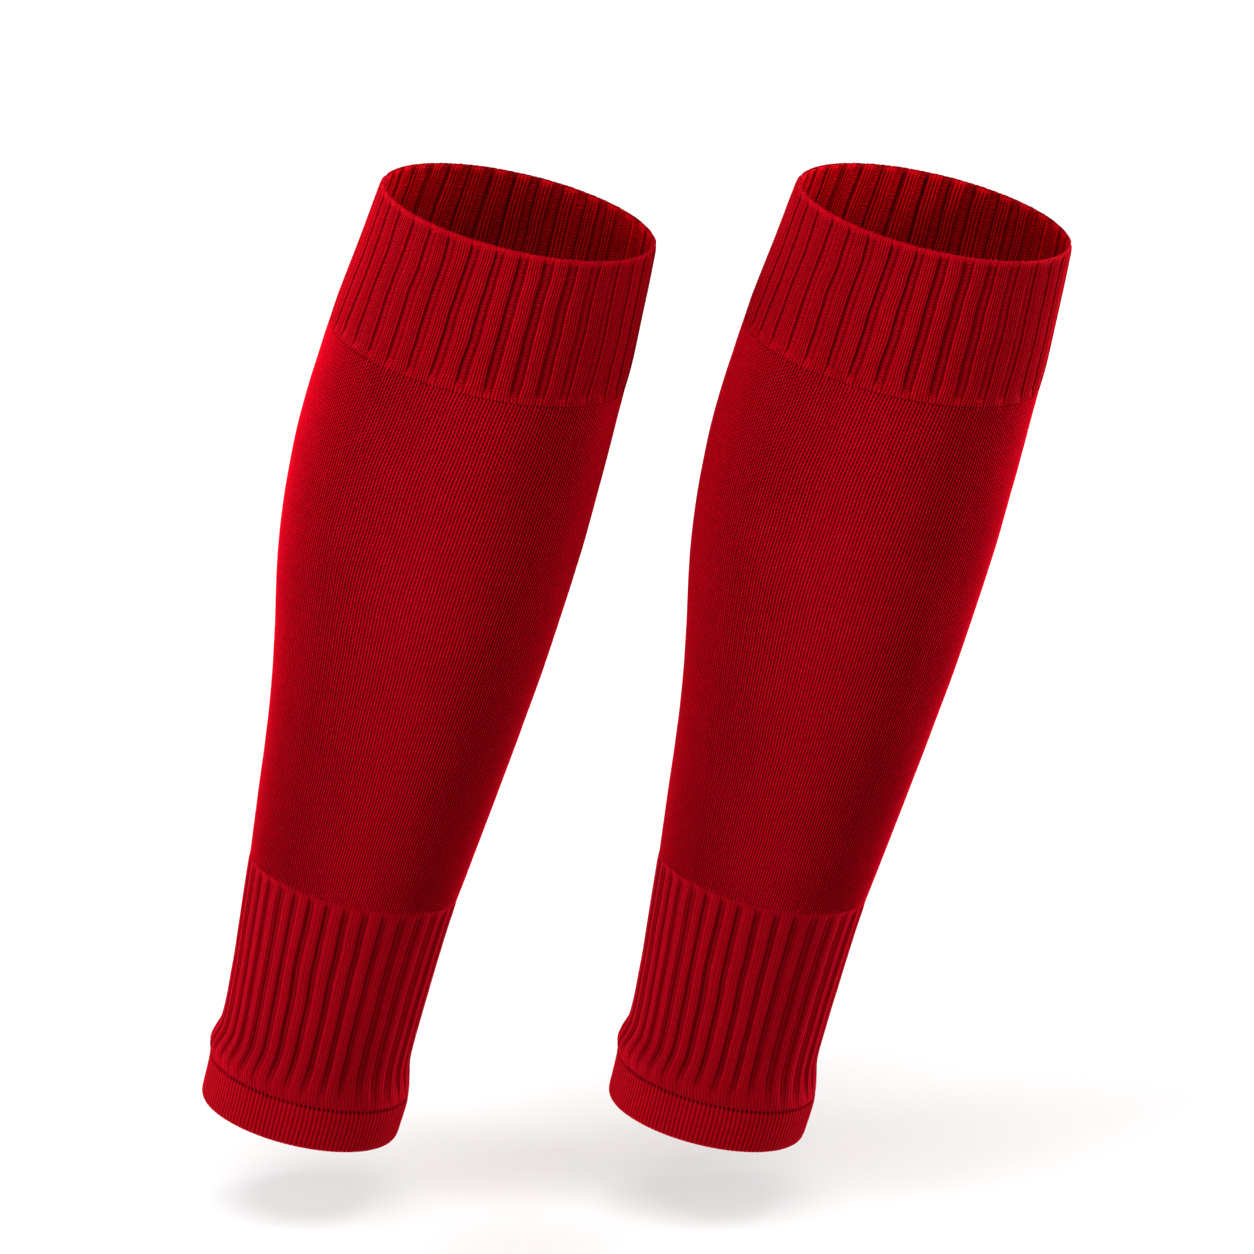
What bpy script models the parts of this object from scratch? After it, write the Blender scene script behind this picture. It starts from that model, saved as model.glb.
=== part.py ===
"""A pair of knitted sock sleeves, filled out as when worn: two footless calf tubes that lean side by side.

Each sleeve is knitted in the round, from the top down: a ribbed cuff, a plain leg and a ribbed ankle.
A turned hem is sewn on below. Units are metres and +Z is up. The origin is on the leg's axis, in the
left sleeve's cuff, where the rib grips the wearer's leg below the knee.
"""
import math
from collections import namedtuple

import bmesh
import bpy
from mathutils import Vector

MM = 0.001

# Pose: both sleeves lean the same way in the XZ plane, with their tops towards +X
LEAN = math.radians(12.9)
SLEEVE_SPACING = 156.8 * MM
GRIP_STATION = 28.0 * MM

# Stations are distances along the leg's axis, from the mouth down
CUFF_END = 57.5 * MM
ANKLE_START = 272.0 * MM
HEM_SEAM = 355.2 * MM
HEM_END = 372.6 * MM
SEAM_GAP = 0.3 * MM

# Knitting: 35 ribs of four wales run round each sleeve
RIBS = 35
RIB_DEPTH = 1.1 * MM
RIB_WALL = 2.4 * MM
PLAIN_INSET = 0.4 * MM
PLAIN_WALL = 1.6 * MM
HEM_WALL = 2.8 * MM

# The wales crowd towards the calf side, and spiral that way down the leg by one and a half ribs
WALE_CROWDING = 0.09
LEG_SPIRAL = 1.5 * math.tau / RIBS

# The leg's cross-sections: how far the cloth reaches from the axis to the calf (-X) and shin (+X)
# sides, and its depth along Y as a share of its width
Section = namedtuple("Section", "station calf_reach shin_reach depth_ratio")
LEG_FORM = (
    Section(0.0 * MM, 52.2 * MM, 54.9 * MM, 1.00),
    Section(24.0 * MM, 55.2 * MM, 55.7 * MM, 1.00),
    Section(51.0 * MM, 58.9 * MM, 56.2 * MM, 0.99),
    Section(72.0 * MM, 60.9 * MM, 55.8 * MM, 0.98),
    Section(96.0 * MM, 62.4 * MM, 55.5 * MM, 0.97),
    Section(118.0 * MM, 62.0 * MM, 54.8 * MM, 0.97),
    Section(139.0 * MM, 60.5 * MM, 53.5 * MM, 0.97),
    Section(159.0 * MM, 57.7 * MM, 52.1 * MM, 0.97),
    Section(179.0 * MM, 54.0 * MM, 50.3 * MM, 0.97),
    Section(199.0 * MM, 50.8 * MM, 48.1 * MM, 0.96),
    Section(219.0 * MM, 48.2 * MM, 45.8 * MM, 0.96),
    Section(240.0 * MM, 46.2 * MM, 43.3 * MM, 0.96),
    Section(260.0 * MM, 44.4 * MM, 40.9 * MM, 0.96),
    Section(280.0 * MM, 42.5 * MM, 38.4 * MM, 0.96),
    Section(300.0 * MM, 41.0 * MM, 37.0 * MM, 0.96),
    Section(320.0 * MM, 39.7 * MM, 36.1 * MM, 0.97),
    Section(340.0 * MM, 39.2 * MM, 35.6 * MM, 0.97),
    Section(349.0 * MM, 41.6 * MM, 37.1 * MM, 0.97),
    Section(356.0 * MM, 40.4 * MM, 38.2 * MM, 0.98),
    Section(372.6 * MM, 40.2 * MM, 37.2 * MM, 0.98),
)

# One rib and the groove beside it: share of the rib's pitch, and height from groove (0) to crest (1)
RibPoint = namedtuple("RibPoint", "phase height")
RIB_PROFILE = (
    RibPoint(0.06, 1.0),
    RibPoint(0.54, 1.0),
    RibPoint(0.68, 0.0),
    RibPoint(0.92, 0.0),
)
RIB_INSIDE_PHASES = (0.30,)
PLAIN_PHASES = (0.30, 0.80)

# Rings of each wall: inset is measured inward from the leg form, groove is the share of RIB_DEPTH
Ring = namedtuple("Ring", "station inset groove")
CUFF_OUTSIDE = (
    Ring(0.0 * MM, 1.2 * MM, 0.0),
    Ring(0.8 * MM, 0.2 * MM, 0.3),
    Ring(3.0 * MM, 0.0 * MM, 1.0),
    Ring(20.0 * MM, 0.0 * MM, 1.0),
    Ring(38.0 * MM, 0.0 * MM, 1.0),
    Ring(54.0 * MM, 0.0 * MM, 1.0),
    Ring(CUFF_END - SEAM_GAP / 2, 0.3 * MM, 0.0),
)
CUFF_INSIDE = (
    Ring(0.8 * MM, RIB_WALL, 0.0),
    Ring(28.0 * MM, RIB_WALL, 0.0),
    Ring(CUFF_END - SEAM_GAP / 2, RIB_WALL, 0.0),
)
ANKLE_OUTSIDE = (
    Ring(ANKLE_START + SEAM_GAP / 2, 0.3 * MM, 0.0),
    Ring(276.0 * MM, 0.0 * MM, 1.0),
    Ring(296.0 * MM, 0.0 * MM, 1.0),
    Ring(320.0 * MM, 0.0 * MM, 1.0),
    Ring(338.0 * MM, 0.0 * MM, 1.0),
    Ring(345.0 * MM, 0.0 * MM, 0.8),
    Ring(350.0 * MM, 0.0 * MM, 0.6),
    Ring(HEM_SEAM - SEAM_GAP / 2, 0.8 * MM, 0.1),
)
ANKLE_INSIDE = (
    Ring(ANKLE_START + SEAM_GAP / 2, RIB_WALL, 0.0),
    Ring(300.0 * MM, RIB_WALL, 0.0),
    Ring(338.0 * MM, RIB_WALL, 0.0),
    Ring(348.0 * MM, RIB_WALL, 0.0),
    Ring(HEM_SEAM - SEAM_GAP / 2, RIB_WALL, 0.0),
)
HEM_OUTSIDE = (
    Ring(HEM_SEAM + SEAM_GAP / 2, 0.8 * MM, 0.0),
    Ring(357.0 * MM, 0.0 * MM, 0.0),
    Ring(370.0 * MM, 0.0 * MM, 0.0),
    Ring(372.0 * MM, 0.5 * MM, 0.0),
    Ring(HEM_END, 1.4 * MM, 0.0),
)
HEM_INSIDE = (
    Ring(HEM_SEAM + SEAM_GAP / 2, HEM_WALL, 0.0),
    Ring(371.2 * MM, HEM_WALL, 0.0),
)
LEG_OUTSIDE_SPANS = 10
LEG_INSIDE_SPANS = 5

Finish = namedtuple("Finish", "name color roughness")
RIB_KNIT = Finish("rib_knit", (0.40, 0.003, 0.020), 0.85)
PLAIN_KNIT = Finish("plain_knit", (0.36, 0.002, 0.017), 0.88)
HEM_KNIT = Finish("hem_knit", (0.38, 0.002, 0.018), 0.88)


def clear_scene():
    for item in list(bpy.data.objects):
        bpy.data.objects.remove(item, do_unlink=True)


def make_material(finish):
    material = bpy.data.materials.new(finish.name)
    material.use_nodes = True
    shader = material.node_tree.nodes["Principled BSDF"]
    shader.inputs["Base Color"].default_value = (*finish.color, 1.0)
    shader.inputs["Roughness"].default_value = finish.roughness
    shader.inputs["Metallic"].default_value = 0.0
    return material


def slope_at(index, column):
    """Rate of change of one column of LEG_FORM, from its neighbouring rows."""
    before = LEG_FORM[max(index - 1, 0)]
    after = LEG_FORM[min(index + 1, len(LEG_FORM) - 1)]
    return (getattr(after, column) - getattr(before, column)) / (after.station - before.station)


def section_at(station):
    """The leg's cross-section at any station, by a smooth curve through the rows of LEG_FORM."""
    station = min(max(station, LEG_FORM[0].station), LEG_FORM[-1].station)
    index = max(i for i, row in enumerate(LEG_FORM[:-1]) if row.station <= station)
    start, end = LEG_FORM[index], LEG_FORM[index + 1]
    span = end.station - start.station
    t = (station - start.station) / span
    values = []
    for column in ("calf_reach", "shin_reach", "depth_ratio"):
        values.append((2 * t**3 - 3 * t**2 + 1) * getattr(start, column)
                      + (t**3 - 2 * t**2 + t) * span * slope_at(index, column)
                      + (3 * t**2 - 2 * t**3) * getattr(end, column)
                      + (t**3 - t**2) * span * slope_at(index + 1, column))
    return Section(station, *values)


def wale_angle(ribs_round, station):
    """Angle of a wale, counted in ribs, from the front (-Y) towards the shin (+X)."""
    down_leg = min(max((station - CUFF_END) / (ANKLE_START - CUFF_END), 0.0), 1.0)
    angle = ribs_round * math.tau / RIBS - LEG_SPIRAL * (1 - (1 - down_leg) ** 1.5)
    return angle - WALE_CROWDING * math.cos(angle)


def wall_point(angle, station, inset):
    """A point of the cloth in the sleeve's own axes: Z along the leg, from the grip, and -Y the front."""
    section = section_at(station)
    width = (section.calf_reach + section.shin_reach) / 2
    centre = (section.shin_reach - section.calf_reach) / 2
    depth = width * section.depth_ratio
    return Vector((
        centre + (width - inset) * math.sin(angle),
        -(depth - inset) * math.cos(angle),
        GRIP_STATION - station,
    ))


def add_ring(mesh, ring, profile):
    """One ring of vertices, each with its place round the sleeve in ribs."""
    vertices = []
    for rib in range(RIBS):
        for point in profile:
            ribs_round = rib + point.phase
            inset = ring.inset + RIB_DEPTH * ring.groove * (1 - point.height)
            place = wall_point(wale_angle(ribs_round, ring.station), ring.station, inset)
            vertices.append((ribs_round, mesh.verts.new(place)))
    return vertices


def bridge(mesh, first, second):
    """Faces between two rings, which may have different counts of vertices."""
    if len(first) == len(second):
        for i in range(len(first)):
            j = (i + 1) % len(first)
            mesh.faces.new((first[i][1], first[j][1], second[j][1], second[i][1]))
        return
    around_first = first + [(first[0][0] + RIBS, first[0][1])]
    around_second = second + [(second[0][0] + RIBS, second[0][1])]
    i = 0
    j = 0
    while i < len(first) or j < len(second):
        step_first = j == len(second) or (
            i < len(first)
            and around_first[i][0] + around_first[i + 1][0] <= around_second[j][0] + around_second[j + 1][0])
        if step_first:
            mesh.faces.new((around_first[i][1], around_first[i + 1][1], around_second[j][1]))
            i += 1
        else:
            mesh.faces.new((around_first[i][1], around_second[j + 1][1], around_second[j][1]))
            j += 1


def plain_profile(phases):
    return tuple(RibPoint(phase, 1.0) for phase in phases)


def knit_wall(name, parent, material, outside, inside, outside_profile, inside_profile):
    """A closed tube of cloth: the outside rings from the top down, then the inside rings back up."""
    mesh = bmesh.new()
    loop = [add_ring(mesh, ring, outside_profile) for ring in outside]
    loop += [add_ring(mesh, ring, inside_profile) for ring in reversed(inside)]
    for first, second in zip(loop, loop[1:] + loop[:1]):
        bridge(mesh, first, second)
    bmesh.ops.recalc_face_normals(mesh, faces=mesh.faces)
    for face in mesh.faces:
        face.smooth = True
    data = bpy.data.meshes.new(name)
    mesh.to_mesh(data)
    mesh.free()
    data.materials.append(material)
    piece = bpy.data.objects.new(name, data)
    piece.parent = parent
    bpy.context.collection.objects.link(piece)
    return piece


def top_cuff(side, parent, material):
    """The rib below the knee, with a narrow rolled rim at the mouth."""
    return knit_wall(f"{side}_top_cuff", parent, material, CUFF_OUTSIDE, CUFF_INSIDE,
                     RIB_PROFILE, plain_profile(RIB_INSIDE_PHASES))


def leg_rings(spans, inset):
    top = CUFF_END + SEAM_GAP / 2
    bottom = ANKLE_START - SEAM_GAP / 2
    return tuple(Ring(top + (bottom - top) * i / spans, inset, 0.0) for i in range(spans + 1))


def plain_leg(side, parent, material):
    """The plain knit over the calf."""
    profile = plain_profile(PLAIN_PHASES)
    return knit_wall(f"{side}_leg", parent, material, leg_rings(LEG_OUTSIDE_SPANS, PLAIN_INSET),
                     leg_rings(LEG_INSIDE_SPANS, PLAIN_INSET + PLAIN_WALL), profile, profile)


def ankle_rib(side, parent, material):
    """The rib above the ankle. It swells just above the hem, which holds it in."""
    return knit_wall(f"{side}_ankle_rib", parent, material, ANKLE_OUTSIDE, ANKLE_INSIDE,
                     RIB_PROFILE, plain_profile(RIB_INSIDE_PHASES))


def hem(side, parent, material):
    """The turned hem: two layers folded at the bottom and sewn to the ankle rib at the seam."""
    profile = plain_profile(PLAIN_PHASES)
    return knit_wall(f"{side}_hem", parent, material, HEM_OUTSIDE, HEM_INSIDE, profile, profile)


def add_sleeve(side, along_x, rib_material, plain_material, hem_material):
    carrier = bpy.data.objects.new(f"{side}_sleeve", None)
    carrier.location = (along_x, 0.0, 0.0)
    carrier.rotation_euler = (0.0, LEAN, 0.0)
    bpy.context.collection.objects.link(carrier)
    top_cuff(side, carrier, rib_material)
    plain_leg(side, carrier, plain_material)
    ankle_rib(side, carrier, rib_material)
    hem(side, carrier, hem_material)


def main():
    clear_scene()
    rib_material = make_material(RIB_KNIT)
    plain_material = make_material(PLAIN_KNIT)
    hem_material = make_material(HEM_KNIT)
    for index, side in enumerate(("left", "right")):
        add_sleeve(side, index * SLEEVE_SPACING, rib_material, plain_material, hem_material)
    bpy.context.view_layer.update()


main()
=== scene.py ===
"""Looks of a pair of red knitted sock sleeves: every course and rib of the knit, its yarn, seams and edges.

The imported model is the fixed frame. Each knitted zone of each sleeve is one piece over its solid. The left
sleeve is made first, and the right one is the same knit moved across.
Units are metres, +Z is up, and the sleeves are seen from -Y.
"""
import math
from collections import namedtuple

import bpy
from mathutils import Matrix, Vector


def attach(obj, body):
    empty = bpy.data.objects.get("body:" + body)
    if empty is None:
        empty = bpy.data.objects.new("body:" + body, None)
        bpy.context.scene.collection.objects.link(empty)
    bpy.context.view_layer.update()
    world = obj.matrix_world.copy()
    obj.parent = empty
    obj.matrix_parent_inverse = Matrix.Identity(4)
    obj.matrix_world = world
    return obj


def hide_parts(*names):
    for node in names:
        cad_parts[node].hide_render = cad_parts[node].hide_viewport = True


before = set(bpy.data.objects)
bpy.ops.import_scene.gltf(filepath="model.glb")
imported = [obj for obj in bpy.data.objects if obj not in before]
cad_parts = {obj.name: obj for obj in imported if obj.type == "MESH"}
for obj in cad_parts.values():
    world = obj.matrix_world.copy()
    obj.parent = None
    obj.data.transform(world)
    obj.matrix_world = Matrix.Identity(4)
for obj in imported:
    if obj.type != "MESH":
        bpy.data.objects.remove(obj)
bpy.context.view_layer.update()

MM = 0.001


# ---- Rim chains ----
# The mouth of each sleeve ends in a chain of bound-off loops, one to a wale, each slanted over the next. It
# is the cuff's own acrylic and wool yarn, and closes the last round of its knitting.

LEAN = math.radians(12.9)
SLEEVE_SPACING = 156.8 * MM
GRIP_STATION = 28.0 * MM
CUFF_END = 57.5 * MM
ANKLE_START = 272.0 * MM
RIBS = 35
KNIT_WALES = 3
WALES_PER_RIB = KNIT_WALES + 1
WALES = WALES_PER_RIB * RIBS
# The knit turns a little round the leg on its way down, and its wales lie closer together at the calf side
LEG_SPIRAL = 1.5 * math.tau / RIBS
SPIRAL_EASING = 1.5
WALE_CROWDING = 0.09
# In pitches of a rib: where the first wale of plain knit starts, and each wale's share of a gathered rib
EVEN_START = -0.075
GATHERED_KNIT_WALE = 0.2
GATHERED_PURL_WALE = 0.4
# The ribs of the inside face lie this many wales further round, where the outside draws back
INSIDE_SHIFT = 2

# How far the cloth reaches from the leg's axis to the calf and shin sides, and its depth to its width
Section = namedtuple("Section", "station calf_reach shin_reach depth_ratio")
LEG_FORM = (
    Section(0.0 * MM, 52.2 * MM, 54.9 * MM, 1.00),
    Section(24.0 * MM, 55.2 * MM, 55.7 * MM, 1.00),
    Section(51.0 * MM, 58.9 * MM, 56.2 * MM, 0.99),
    Section(72.0 * MM, 60.9 * MM, 55.8 * MM, 0.98),
    Section(96.0 * MM, 62.4 * MM, 55.5 * MM, 0.97),
    Section(118.0 * MM, 62.0 * MM, 54.8 * MM, 0.97),
    Section(139.0 * MM, 60.5 * MM, 53.5 * MM, 0.97),
    Section(159.0 * MM, 57.7 * MM, 52.1 * MM, 0.97),
    Section(179.0 * MM, 54.0 * MM, 50.3 * MM, 0.97),
    Section(199.0 * MM, 50.8 * MM, 48.1 * MM, 0.96),
    Section(219.0 * MM, 48.2 * MM, 45.8 * MM, 0.96),
    Section(240.0 * MM, 46.2 * MM, 43.3 * MM, 0.96),
    Section(260.0 * MM, 44.4 * MM, 40.9 * MM, 0.96),
    Section(280.0 * MM, 42.5 * MM, 38.4 * MM, 0.96),
    Section(300.0 * MM, 41.0 * MM, 37.0 * MM, 0.96),
    Section(320.0 * MM, 39.7 * MM, 36.1 * MM, 0.97),
    Section(340.0 * MM, 39.2 * MM, 35.6 * MM, 0.97),
    Section(349.0 * MM, 41.6 * MM, 37.1 * MM, 0.97),
    Section(356.0 * MM, 40.4 * MM, 38.2 * MM, 0.98),
    Section(372.6 * MM, 40.2 * MM, 37.2 * MM, 0.98),
)


def slope_at(index, column):
    """Rate of change of one column of LEG_FORM, from its neighbouring rows."""
    before = LEG_FORM[max(index - 1, 0)]
    after = LEG_FORM[min(index + 1, len(LEG_FORM) - 1)]
    return (getattr(after, column) - getattr(before, column)) / (after.station - before.station)


def section_at(station):
    """The leg's cross-section at any station, by a smooth curve through the rows of LEG_FORM."""
    station = min(max(station, LEG_FORM[0].station), LEG_FORM[-1].station)
    index = max(i for i, row in enumerate(LEG_FORM[:-1]) if row.station <= station)
    start, end = LEG_FORM[index], LEG_FORM[index + 1]
    span = end.station - start.station
    t = (station - start.station) / span
    values = []
    for column in ("calf_reach", "shin_reach", "depth_ratio"):
        values.append((2 * t**3 - 3 * t**2 + 1) * getattr(start, column)
                      + (t**3 - 2 * t**2 + t) * span * slope_at(index, column)
                      + (3 * t**2 - 2 * t**3) * getattr(end, column)
                      + (t**3 - t**2) * span * slope_at(index + 1, column))
    return Section(station, *values)


def wale_angle(ribs_round, station):
    """Angle of a wale, counted in ribs, from the front (-Y) towards the shin (+X)."""
    down_leg = min(max((station - CUFF_END) / (ANKLE_START - CUFF_END), 0.0), 1.0)
    angle = ribs_round * math.tau / RIBS - LEG_SPIRAL * (1 - (1 - down_leg) ** SPIRAL_EASING)
    return angle - WALE_CROWDING * math.cos(angle)


def rib_phase(wale, gather):
    """A wale's place in its rib's pitch: even in plain knit, with the knit wales drawn in when gathered."""
    even = wale / WALES_PER_RIB + EVEN_START
    gathered = GATHERED_KNIT_WALE * min(wale, KNIT_WALES) + GATHERED_PURL_WALE * max(wale - KNIT_WALES, 0)
    return even + (gathered - even) * gather


def wale_place(wale, gather, station, inner=0):
    """Angle of a wale of the whole round. Inside, the knit wales are those that lie back outside."""
    shifted = wale - INSIDE_SHIFT * inner
    rib = math.floor(shifted / WALES_PER_RIB)
    phase = rib_phase(shifted - WALES_PER_RIB * rib, gather)
    return wale_angle(rib + phase + INSIDE_SHIFT * inner / WALES_PER_RIB, station)


def leaned(x, y, z):
    """A point of the sleeve's own axes, in the row's frame: the top leans towards +X."""
    return Vector((x * math.cos(LEAN) + z * math.sin(LEAN), y, z * math.cos(LEAN) - x * math.sin(LEAN)))


def wall_place(section, angle, inset):
    """The point of the wall at an angle round the leg, an inset below the leg's form."""
    width = (section.calf_reach + section.shin_reach) / 2
    centre = (section.shin_reach - section.calf_reach) / 2
    depth = width * section.depth_ratio
    return leaned(centre + (width - inset) * math.sin(angle), -(depth - inset) * math.cos(angle),
                  GRIP_STATION - section.station)


def calc(tree, operation, *values):
    """A math node's result in a tree. Values are sockets or numbers."""
    node = tree.nodes.new("ShaderNodeMath")
    node.operation = operation
    for socket, value in zip(node.inputs, values):
        if isinstance(value, (int, float)):
            socket.default_value = value
        else:
            tree.links.new(value, socket)
    return node.outputs[0]


def times(tree, first, second):
    return calc(tree, "MULTIPLY", first, second)


def plus(tree, first, second):
    return calc(tree, "ADD", first, second)


def minus(tree, first, second):
    return calc(tree, "SUBTRACT", first, second)


def apart(tree, first, second):
    """The distance between two numbers."""
    return calc(tree, "ABSOLUTE", minus(tree, first, second))


def new_tree(name, kind, inputs, outputs):
    """An empty node tree with named sockets. Returns it with its input and output nodes."""
    tree = bpy.data.node_groups.new(name, kind)
    for socket_name, socket_type in inputs:
        tree.interface.new_socket(name=socket_name, in_out="INPUT", socket_type=socket_type)
    for socket_name, socket_type in outputs:
        tree.interface.new_socket(name=socket_name, in_out="OUTPUT", socket_type=socket_type)
    return tree, tree.nodes.new("NodeGroupInput"), tree.nodes.new("NodeGroupOutput")


def attribute(tree, name, data_type="FLOAT"):
    """A stored attribute of the points, in a geometry tree."""
    node = tree.nodes.new("GeometryNodeInputNamedAttribute")
    node.data_type = data_type
    node.inputs["Name"].default_value = name
    return node.outputs["Attribute"]


def scaled(tree, vector, factor):
    """A vector or colour times a number, in a tree."""
    node = tree.nodes.new("ShaderNodeVectorMath")
    node.operation = "SCALE"
    tree.links.new(vector, node.inputs[0])
    tree.links.new(factor, node.inputs["Scale"])
    return node.outputs[0]


def made_mesh(piece, tree, settings):
    """Runs a geometry node tree on a piece and keeps the result as its plain mesh."""
    modifier = piece.modifiers.new(tree.name, "NODES")
    modifier.node_group = tree
    sockets = {item.name: item.identifier for item in tree.interface.items_tree
               if item.item_type == "SOCKET" and item.in_out == "INPUT"}
    for name, value in settings.items():
        modifier[sockets[name]] = value
    evaluated = piece.evaluated_get(bpy.context.evaluated_depsgraph_get())
    mesh = bpy.data.meshes.new_from_object(evaluated)
    piece.modifiers.remove(modifier)
    old = piece.data
    piece.data = mesh
    bpy.data.meshes.remove(old)
    mesh.name = piece.name
    return piece


# Fuzz and dye: how fine they are, a metre, and how far each takes the yarn's brightness up from its darkest
FUZZ_SCALE = 1500.0
DYE_SCALE = 38.0
DARKEST_YARN = 0.50
STITCH_VARIATION = 0.16
DYE_VARIATION = 0.30
FUZZ_VARIATION = 0.55
# The dark red of painted shade, laid in the gaps between stitches, in the ribs' creases and grooves and in
# the seams' grooves
GAP_SHADE_RED = (0.022, 0.0, 0.0003)


def yarn_group():
    """Shader group: the yarn's colour with its uneven dye, darkened by painted shade where the gap mask
    lies, and the height of its fuzz.
    """
    number, colour = "NodeSocketFloat", "NodeSocketColor"
    tree, given, result = new_tree(
        "soft_yarn", "ShaderNodeTree",
        (("Yarn", colour), ("Gap Shade Colour", colour), ("Gap", number), ("Gap Strength", number),
         ("Wale", number), ("Course", number), ("Fuzz Scale", number)),
        (("Colour", colour), ("Fuzz", number)))
    place = tree.nodes.new("ShaderNodeTexCoord").outputs["Object"]
    stitch = tree.nodes.new("ShaderNodeCombineXYZ")
    half_wale = calc(tree, "FLOOR", times(tree, given.outputs["Wale"], 2.0))
    tree.links.new(half_wale, stitch.inputs[0])
    tree.links.new(calc(tree, "FLOOR", given.outputs["Course"]), stitch.inputs[1])
    cell = tree.nodes.new("ShaderNodeTexWhiteNoise")
    tree.links.new(stitch.outputs[0], cell.inputs["Vector"])
    dye = tree.nodes.new("ShaderNodeTexNoise")
    dye.inputs["Scale"].default_value = DYE_SCALE
    dye.inputs["Detail"].default_value = 3.0
    tree.links.new(place, dye.inputs["Vector"])
    fuzz = tree.nodes.new("ShaderNodeTexNoise")
    fuzz.inputs["Detail"].default_value = 3.0
    fuzz.inputs["Roughness"].default_value = 0.65
    tree.links.new(place, fuzz.inputs["Vector"])
    tree.links.new(given.outputs["Fuzz Scale"], fuzz.inputs["Scale"])
    shade = plus(tree, times(tree, dye.outputs[0], DYE_VARIATION),
                 times(tree, fuzz.outputs[0], FUZZ_VARIATION))
    shade = plus(tree, times(tree, cell.outputs["Value"], STITCH_VARIATION), shade)
    tint = scaled(tree, given.outputs["Yarn"], plus(tree, DARKEST_YARN, shade))
    # Painted shade: the yarn's colour is mixed towards the dark red where the gap mask lies
    mix = tree.nodes.new("ShaderNodeMix")
    mix.data_type = "RGBA"
    gap = times(tree, given.outputs["Gap"], given.outputs["Gap Strength"])
    tree.links.new(gap, mix.inputs["Factor"])
    tree.links.new(tint, mix.inputs[6])
    tree.links.new(given.outputs["Gap Shade Colour"], mix.inputs[7])
    tree.links.new(mix.outputs[2], result.inputs["Colour"])
    tree.links.new(fuzz.outputs[0], result.inputs["Fuzz"])
    return tree


SOFT_YARN = yarn_group()


def group_node(tree, group):
    """A node group placed in a material."""
    node = tree.nodes.new("ShaderNodeGroup")
    node.node_tree = group
    return node


def bumped(tree, height, distance, under=None):
    """The normal of a height, on top of another normal if one is given."""
    bump = tree.nodes.new("ShaderNodeBump")
    bump.inputs["Distance"].default_value = distance
    tree.links.new(height, bump.inputs["Height"])
    if under is not None:
        tree.links.new(under, bump.inputs["Normal"])
    return bump.outputs[0]


SHEEN_ROUGHNESS = 0.42
SHEEN_RED = (1.0, 0.001, 0.028)
YARN_SPECULAR = 0.01


def yarn_material(name, yarn, fuzz_scale):
    """A new material of soft fuzzy yarn with a red sheen. Returns it with its shader and its dye group."""
    material = bpy.data.materials.new(name)
    material.use_nodes = True
    tree = material.node_tree
    shader = tree.nodes["Principled BSDF"]
    dyed = group_node(tree, SOFT_YARN)
    dyed.inputs["Yarn"].default_value = (*yarn.colour, 1.0)
    dyed.inputs["Gap Shade Colour"].default_value = (*GAP_SHADE_RED, 1.0)
    dyed.inputs["Fuzz Scale"].default_value = fuzz_scale
    tree.links.new(dyed.outputs["Colour"], shader.inputs["Base Color"])
    shader.inputs["Roughness"].default_value = yarn.roughness
    shader.inputs["Specular IOR Level"].default_value = YARN_SPECULAR
    shader.inputs["Sheen Weight"].default_value = yarn.sheen
    shader.inputs["Sheen Roughness"].default_value = SHEEN_ROUGHNESS
    shader.inputs["Sheen Tint"].default_value = (*SHEEN_RED, 1.0)
    return material, shader, dyed


LooseYarn = namedtuple("LooseYarn", "colour fuzz_bump roughness sheen")
STRAND_YARN = LooseYarn(colour=(0.170, 0.0002, 0.0030), fuzz_bump=0.16 * MM, roughness=0.88, sheen=0.90)
STRAND_SHADES_A_METRE = 300.0


def strand_material(name, yarn):
    """Loose yarn: its dye and fuzz follow its place, as it has no stitch map."""
    material, shader, dyed = yarn_material(name, yarn, 2 * FUZZ_SCALE)
    tree = material.node_tree
    place = tree.nodes.new("ShaderNodeTexCoord")
    split = tree.nodes.new("ShaderNodeSeparateXYZ")
    tree.links.new(place.outputs["Object"], split.inputs[0])
    dyed.inputs["Gap"].default_value = 0.0
    for index, share in enumerate(("Wale", "Course")):
        cell = times(tree, split.outputs[index], STRAND_SHADES_A_METRE)
        tree.links.new(cell, dyed.inputs[share])
    tree.links.new(bumped(tree, dyed.outputs["Fuzz"], yarn.fuzz_bump), shader.inputs["Normal"])
    return material


# A round of strands: where it lies, how far it tilts to face up, whether each strand runs round the leg or
# down it, and the strand's own size and turn
Strands = namedtuple("Strands", "station inset tilt round_leg length thickness bow slant seed")
RIM_CHAIN = Strands(station=0.40 * MM, inset=1.35 * MM, tilt=math.radians(60.0), round_leg=True,
                    length=3.3 * MM, thickness=0.56 * MM, bow=0.25 * MM, slant=math.radians(14.0), seed=11)
STRAND_GATHER = 0.2
SLANT_SPREAD = math.radians(9.0)
SIZE_SPREAD = 0.12


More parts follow.
